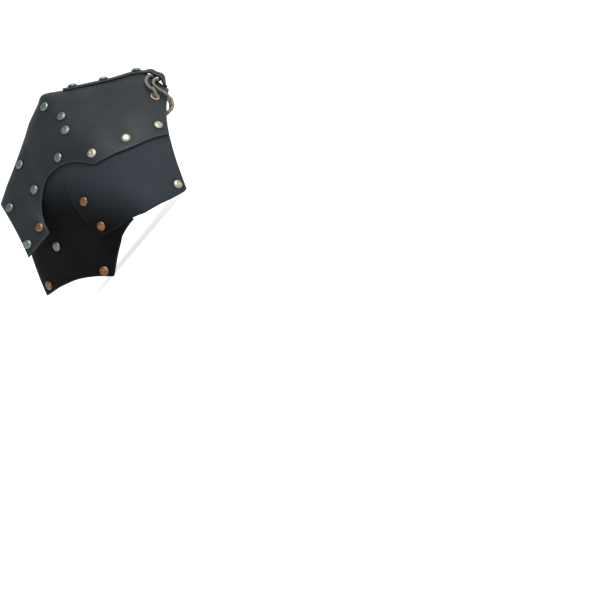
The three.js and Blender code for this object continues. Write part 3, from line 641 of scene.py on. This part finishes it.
def leather_material(name, dark, light, edge, rough, gloss_level, painted_lit_tone=None):
    paint, nodes, links, shader = material(name)
    clouds = textured(nodes, links, "ShaderNodeTexNoise", 21, Detail=6, Roughness=0.62)
    tone = ramp(nodes, links, clouds.outputs["Fac"], [(0.34, dark), (0.66, light)])
    # Painted light: where the lit share is high, the base tone is mixed toward a lighter tone that stands in
    # for light falling on the top
    if painted_lit_tone is not None:
        lit = nodes.new("ShaderNodeAttribute")
        lit.attribute_name = "lit"
        tone = mixed(nodes, links, lit.outputs["Fac"], tone, painted_lit_tone)
    to_edge = nodes.new("ShaderNodeAttribute")
    to_edge.attribute_name = "to_edge"
    to_rivet = nodes.new("ShaderNodeAttribute")
    to_rivet.attribute_name = "to_rivet"
    scuffs = textured(nodes, links, "ShaderNodeTexNoise", 230, Detail=3, Roughness=0.7)
    worn = spread(nodes, links, to_edge.outputs["Fac"], 0.0006, 0.0026, 0.75, 0)
    worn = times(nodes, links, worn, spread(nodes, links, scuffs.outputs["Fac"], 0.35, 0.65, 0.45, 1))
    tone = mixed(nodes, links, worn, tone, edge)
    # Darker ring round each rivet: partly grime, partly painted shade under the rivet head
    rivet_grime_and_shade = spread(nodes, links, to_rivet.outputs["Fac"], 0.0055, 0.0105, 0.55, 0)
    tone = mixed(nodes, links, rivet_grime_and_shade, tone, tuple(c * 0.4 for c in dark))
    links.new(tone, shader.inputs["Base Color"])
    smears = textured(nodes, links, "ShaderNodeTexNoise", 38, Detail=5, Roughness=0.55)
    gloss = spread(nodes, links, smears.outputs["Fac"], 0.3, 0.7, rough - 0.07, rough + 0.09)
    links.new(gloss, shader.inputs["Roughness"])
    shader.inputs["Specular IOR Level"].default_value = gloss_level
    pores = textured(nodes, links, "ShaderNodeTexVoronoi", 820)
    wrinkles = textured(nodes, links, "ShaderNodeTexNoise", 150, Detail=5, Roughness=0.65)
    normal = bumped(nodes, links, pores.outputs["Distance"], 0.22, 0.00025)
    normal = bumped(nodes, links, wrinkles.outputs["Fac"], 0.22, 0.0006, normal)
    groove = spread(nodes, links, to_edge.outputs["Fac"], 0.0026, 0.0038, 0, 1)
    normal = bumped(nodes, links, groove, 0.35, 0.0005, normal)
    links.new(normal, shader.inputs["Normal"])
    return paint


def metal_material(name, bright, dull, rough):
    paint, nodes, links, shader = material(name)
    patina = textured(nodes, links, "ShaderNodeTexNoise", 420, Detail=4, Roughness=0.6)
    tone = ramp(nodes, links, patina.outputs["Fac"], [(0.36, dull), (0.62, bright)])
    links.new(tone, shader.inputs["Base Color"])
    shader.inputs["Metallic"].default_value = 1
    gloss = spread(nodes, links, patina.outputs["Fac"], 0.3, 0.7, rough + 0.12, rough - 0.06)
    links.new(gloss, shader.inputs["Roughness"])
    scratches = textured(nodes, links, "ShaderNodeTexNoise", 1500, Detail=2, Roughness=0.6)
    links.new(bumped(nodes, links, scratches.outputs["Fac"], 0.25, 0.0001), shader.inputs["Normal"])
    return paint


def lace_material():
    paint, nodes, links, shader = material("waxed_lace")
    fibres = textured(nodes, links, "ShaderNodeTexNoise", 260, Detail=4, Roughness=0.6)
    tone = ramp(
        nodes, links, fibres.outputs["Fac"],
        [(0.3, (0.035, 0.03, 0.022)), (0.52, (0.1, 0.09, 0.062)), (0.75, (0.18, 0.165, 0.12))],
    )
    links.new(tone, shader.inputs["Base Color"])
    shader.inputs["Roughness"].default_value = 0.62
    links.new(bumped(nodes, links, fibres.outputs["Fac"], 0.5, 0.0004), shader.inputs["Normal"])
    return paint


upper_leather = leather_material(
    "upper_leather", (0.0035, 0.0062, 0.0082), (0.0082, 0.0125, 0.0155), (0.02, 0.027, 0.032), 0.55, 0.25
)
# The lower plate is the same leather painted far darker as painted shade, with its sheen turned down and a
# lighter painted lit tone mixed in toward the top
lower_leather = leather_material(
    "lower_leather", (0.0008, 0.0008, 0.0009), (0.0035, 0.0035, 0.0037), (0.011, 0.0115, 0.012), 0.6, 0.05,
    (0.018, 0.0225, 0.0275),
)
strap_leather = leather_material(
    "strap_leather", (0.006, 0.008, 0.0095), (0.013, 0.016, 0.0185), (0.03, 0.035, 0.04), 0.54, 0.26
)
# The rivets' brass in lit and shaded copies: the pale one for lit rivets; the darker grey one and the
# copper-brown one are painted shade, not other metals
brass = metal_material("aged_brass", (0.37, 0.355, 0.28), (0.19, 0.18, 0.13), 0.37)
shaded_brass = metal_material("shaded_brass", (0.2, 0.23, 0.22), (0.08, 0.093, 0.09), 0.42)
warm_shaded_brass = metal_material("warm_shaded_brass_tone", (0.25, 0.135, 0.068), (0.09, 0.048, 0.025), 0.4)
eyelet_metal = metal_material("eyelet_metal", (0.34, 0.27, 0.23), (0.12, 0.09, 0.075), 0.36)
thong = lace_material()

# The plates
upper_sheet = Sheet()
for side in (-1, 1):
    upper_sheet.add(upper_columns(), side)
upper_sheet.finish()
upper_plate = solid_from(
    upper_sheet, "upper_plate_look", lambda s: np.zeros(len(s.points)),
    lambda s: np.full(len(s.points), -LEATHER), 0.3, 0.8,
)
upper_plate.data.materials.append(upper_leather)
punch(upper_plate, list(eyelet_places.values()), 4.3)
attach(upper_plate, "root")
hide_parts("upper_plate")

lower_sheet = Sheet()
flap, arm = lower_columns()
for side in (-1, 1):
    lower_sheet.add(flap, side)
    lower_sheet.add(arm, side)
lower_sheet.finish()
lower_plate = solid_from(
    lower_sheet, "lower_plate_look", lambda s: -LAYER - s.sinks,
    lambda s: -LAYER - s.sinks - LEATHER, 0.25, 0.8,
)
lower_plate.data.materials.append(lower_leather)
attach(lower_plate, "root")
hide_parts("lower_plate")


def row_across(across):
    low, high = 0.0, float(cap.last)
    while high - low > 1e-6:
        middle = (low + high) / 2
        if cap.run.at(middle)[0] > across * SPAN:
            low = middle
        else:
            high = middle
    return low


def ridge_point(across):
    row = row_across(across)
    here = cap.run.at(row)
    run = cap.run.at(row + 0.01) - cap.run.at(row - 0.01)
    normal = np.array([run[1], 0, -run[0]])
    return np.array([here[0], 0, here[1]]), normal / np.linalg.norm(normal)


def cap_point(flat, side):
    flat = np.asarray(flat, float)
    step = 0.5
    slope_x = cap.depth(flat - (step, 0)) - cap.depth(flat + (step, 0))
    slope_z = cap.depth(flat - (0, step)) - cap.depth(flat + (0, step))
    normal = np.array([slope_x, side, slope_z])
    return np.array([flat[0], side * cap.depth(flat), flat[1]]), normal / np.linalg.norm(normal)


def hump_height(across):
    for (start, low), (end, high) in zip(HUMP, HUMP[1:]):
        if start <= across <= end:
            return float(low + (high - low) * smooth(across, start, end)) * HUMP_RISE
    return 0.0


def beside_ridge(across, depth):
    at, normal = ridge_point(across)
    start, inward = at[[0, 2]], -normal[[0, 2]]
    low, high = 0.0, 17.0
    while high - low > 1e-6:
        middle = (low + high) / 2
        if cap.depth(start + inward * middle) < depth:
            low = middle
        else:
            high = middle
    return start + inward * low


def strap_columns():
    plain = np.linspace(STRAP_START, HUMP[0][0], STRAP_STEPS)
    stops = [*plain, *np.linspace(HUMP[0][0], STRAP_END, HUMP_STEPS)[1:]]
    columns = []
    for across in reversed(stops):
        points = []
        for part in np.linspace(0, 1, STRAP_PARTS):
            to_end = min(across - STRAP_START, STRAP_END - across) * SPAN
            tip = max(0, 1 - to_end / STRAP_CORNER)
            depth = STRAP_HALF * part * (1 - 0.35 * tip ** 2)
            at, normal = ridge_point(across) if part == 0 else cap_point(beside_ridge(across, depth), -1)
            rise = hump_height(across) * (1 - HUMP_FALL * part ** 2)
            points.append(at + normal * (STRAP_GAP + rise))
        points = np.array(points)
        columns.append((points[:, [0, 2]], -points[:, 1], np.zeros(len(points))))
    return columns


strap_sheet = Sheet()
for side in (-1, 1):
    strap_sheet.add(strap_columns(), side)
strap_sheet.finish()
ridge_strap = solid_from(
    strap_sheet, "ridge_strap_look", lambda s: np.full(len(s.points), STRAP_LEATHER),
    lambda s: np.zeros(len(s.points)), 0, 0.6,
)
ridge_strap.data.materials.append(strap_leather)
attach(ridge_strap, "root")
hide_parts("ridge_strap")

# Picks a rivet's lit copy or painted-shade copy of the brass by its name
def rivet_metal(name):
    kind = name.removeprefix("rivet_").removesuffix("_front").removesuffix("_back")
    if kind in WARM_SHADED_RIVETS:
        return warm_shaded_brass
    return brass if kind in LIT_RIVETS else shaded_brass


# Rivets
for name in rivet_names:
    seat, axis, grip = rivet_places[name]
    mesh = turned_mesh(name + "_look", rivet_profile(grip / MM), RIVET_SIDES, False)
    mesh.transform(seated(seat, axis))
    rivet = bpy.data.objects.new(name + "_look", mesh)
    bpy.context.scene.collection.objects.link(rivet)
    mesh.materials.append(rivet_metal(name))
    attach(rivet, "root")
    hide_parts(name)

# Eyelets: a rolled flange outside, a barrel and a rolled edge inside
for name, (seat, axis) in eyelet_places.items():
    grip = LEATHER + 2 * PIECE_GAP + 0.5
    profile = [
        *arc(4.35, 0, 1.85, 1.1, 0, 180, 12)[:-1],
        (3.2, -0.7),
        (3.25, -grip),
        *arc(4.2, -grip, 1.0, 1.1, 180, 360, 9),
        (4.0, -grip + 0.02),
        (4.0, -0.02),
    ]
    mesh = turned_mesh(name + "_look", profile, EYELET_SIDES, True)
    mesh.transform(seated(seat, axis))
    eyelet = bpy.data.objects.new(name + "_look", mesh)
    bpy.context.scene.collection.objects.link(eyelet)
    mesh.materials.append(eyelet_metal)
    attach(eyelet, "root")
    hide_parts(name)


def lace_points():
    points = []
    for across, up, side, lift in LACE_ROUTE:
        if across is None:
            seat, axis = eyelet_places["eyelet_front" if side < 0 else "eyelet_back"]
            points.append(np.array(seat + axis * (lift * LACE_WIDTH * MM - PIECE_GAP * MM)))
            continue
        at, normal = ridge_point(across) if side == 0 else cap_point(place(across, up), side)
        points.append(standing(at + normal * lift * LACE_WIDTH))
    return points


def lace_mesh():
    """A two-ply twisted thong along its route."""
    run = Run(lace_points())
    line = np.array([run.at(row) for row in np.linspace(0, len(LACE_ROUTE) - 1, LACE_STEPS)])
    tangents = np.gradient(line, axis=0)
    tangents /= np.linalg.norm(tangents, axis=1, keepdims=True)
    lengths = np.concatenate([[0], np.cumsum(np.linalg.norm(np.diff(line, axis=0), axis=1))])
    side = np.cross(tangents[0], (0, 0, 1))
    shape = bmesh.new()
    rings = []
    for point, tangent, length in zip(line, tangents, lengths):
        side = side - tangent * (side @ tangent)
        side /= np.linalg.norm(side)
        other = np.cross(tangent, side)
        twist = 2 * math.pi * length / (LACE_TWIST * MM)
        ring = []
        for k in range(LACE_SIDES):
            a = 2 * math.pi * k / LACE_SIDES
            reach = LACE_WIDTH / 2 * MM * (0.82 + 0.18 * abs(math.cos(a - twist)) ** 0.8)
            ring.append(shape.verts.new(point + (side * math.cos(a) + other * math.sin(a)) * reach))
        rings.append(ring)
    for low, high in zip(rings, rings[1:]):
        for k in range(LACE_SIDES):
            n = (k + 1) % LACE_SIDES
            shape.faces.new((low[k], low[n], high[n], high[k]))
    shape.faces.new(list(reversed(rings[0])))
    shape.faces.new(rings[-1])
    bmesh.ops.recalc_face_normals(shape, faces=shape.faces)
    mesh = bpy.data.meshes.new("lace_look")
    shape.to_mesh(mesh)
    shape.free()
    mesh.shade_smooth()
    return mesh


lace = bpy.data.objects.new("lace_look", lace_mesh())
bpy.context.scene.collection.objects.link(lace)
lace.data.materials.append(thong)
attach(lace, "root")
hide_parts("lace")

def bowl_mesh():
    profile = [(0.0, 0.0), (1.5, 0.0), (3.0, 0.0), (5.0, 0.0)]
    profile += [(5 + 2 * math.sin(a), 2 - 2 * math.cos(a)) for a in np.radians(np.arange(9, 91, 9))]
    profile.append((7.0, 8.0))
    return turned_mesh("bowl", [(radius * 1000, height * 1000) for radius, height in profile], 96, False)


# Stage: a round pale floor that curves up into a wall on every side
bowl = bpy.data.objects.new("bowl", bowl_mesh())
bpy.context.scene.collection.objects.link(bowl)
paint, nodes, links, shader = material("pale_paper")
fibres = textured(nodes, links, "ShaderNodeTexNoise", 3, Detail=2, Roughness=0.5)
links.new(
    ramp(nodes, links, fibres.outputs["Fac"], [(0.2, (0.5, 0.5, 0.5)), (0.8, (0.53, 0.53, 0.53))]),
    shader.inputs["Base Color"],
)
shader.inputs["Roughness"].default_value = 0.9
shader.inputs["Specular IOR Level"].default_value = 0.1
shader.inputs["Emission Color"].default_value = (1, 1, 1, 1)
shader.inputs["Emission Strength"].default_value = 0.72
bowl.data.materials.append(paint)

world = bpy.data.worlds.new("studio")
world.use_nodes = True
world.node_tree.nodes["Background"].inputs["Color"].default_value = (1, 1, 1, 1)
world.node_tree.nodes["Background"].inputs["Strength"].default_value = 0.6
bpy.context.scene.world = world

WORN_UP = Vector((math.sin(TILT), 0, math.cos(TILT)))
WORN_RIGHT = Vector((math.cos(TILT), 0, -math.sin(TILT)))
middle = Vector(standing(np.array([0.49 * SPAN, -45.0, 0.5 * RISE])))


def area_light(name, spot, target, size, power):
    light = bpy.data.lights.new(name, "AREA")
    light.energy = power
    light.size = size
    lamp = bpy.data.objects.new(name, light)
    lamp.location = spot
    lamp.rotation_euler = (target - spot).to_track_quat("-Z", "Y").to_euler()
    bpy.context.scene.collection.objects.link(lamp)


area_light("key", middle + WORN_UP * 1.5 + WORN_RIGHT * 0.5 + Vector((0, -1.3, 0.6)), middle, 1.6, 55)

# Camera: straight in front of the worn pauldron, rolled so that worn-up is up in the picture,
# then aimed so that the pauldron's middle lands where the photograph has it
PHOTO_SIZE = 600
PIXELS_PER_METRE = 1000 / 1.2
DISTANCE = 2.6
SENSOR = 36.0
AIM_PIXEL = (1 + 0.49 * 185, 295 - 0.5 * 227.5)

camera_data = bpy.data.cameras.new("camera")
camera_data.sensor_width = SENSOR
focal_pixels = PIXELS_PER_METRE * DISTANCE
camera_data.lens = focal_pixels * SENSOR / PHOTO_SIZE
camera_data.clip_end = 50
camera = bpy.data.objects.new("camera", camera_data)
bpy.context.scene.collection.objects.link(camera)
looking = Vector((0, 1, 0))
right = looking.cross(WORN_UP).normalized()
straight = Matrix((right, WORN_UP, -looking)).transposed()
to_pixel = Vector((AIM_PIXEL[0] - PHOTO_SIZE / 2, PHOTO_SIZE / 2 - AIM_PIXEL[1], -focal_pixels)).normalized()
aim = Vector((0, 0, -1)).rotation_difference(to_pixel).to_matrix()
camera.matrix_world = Matrix.Translation(middle - looking * DISTANCE) @ (straight @ aim.inverted()).to_4x4()
bpy.context.scene.camera = camera

bpy.context.scene.view_settings.view_transform = "Standard"
bpy.context.scene.view_settings.look = "None"
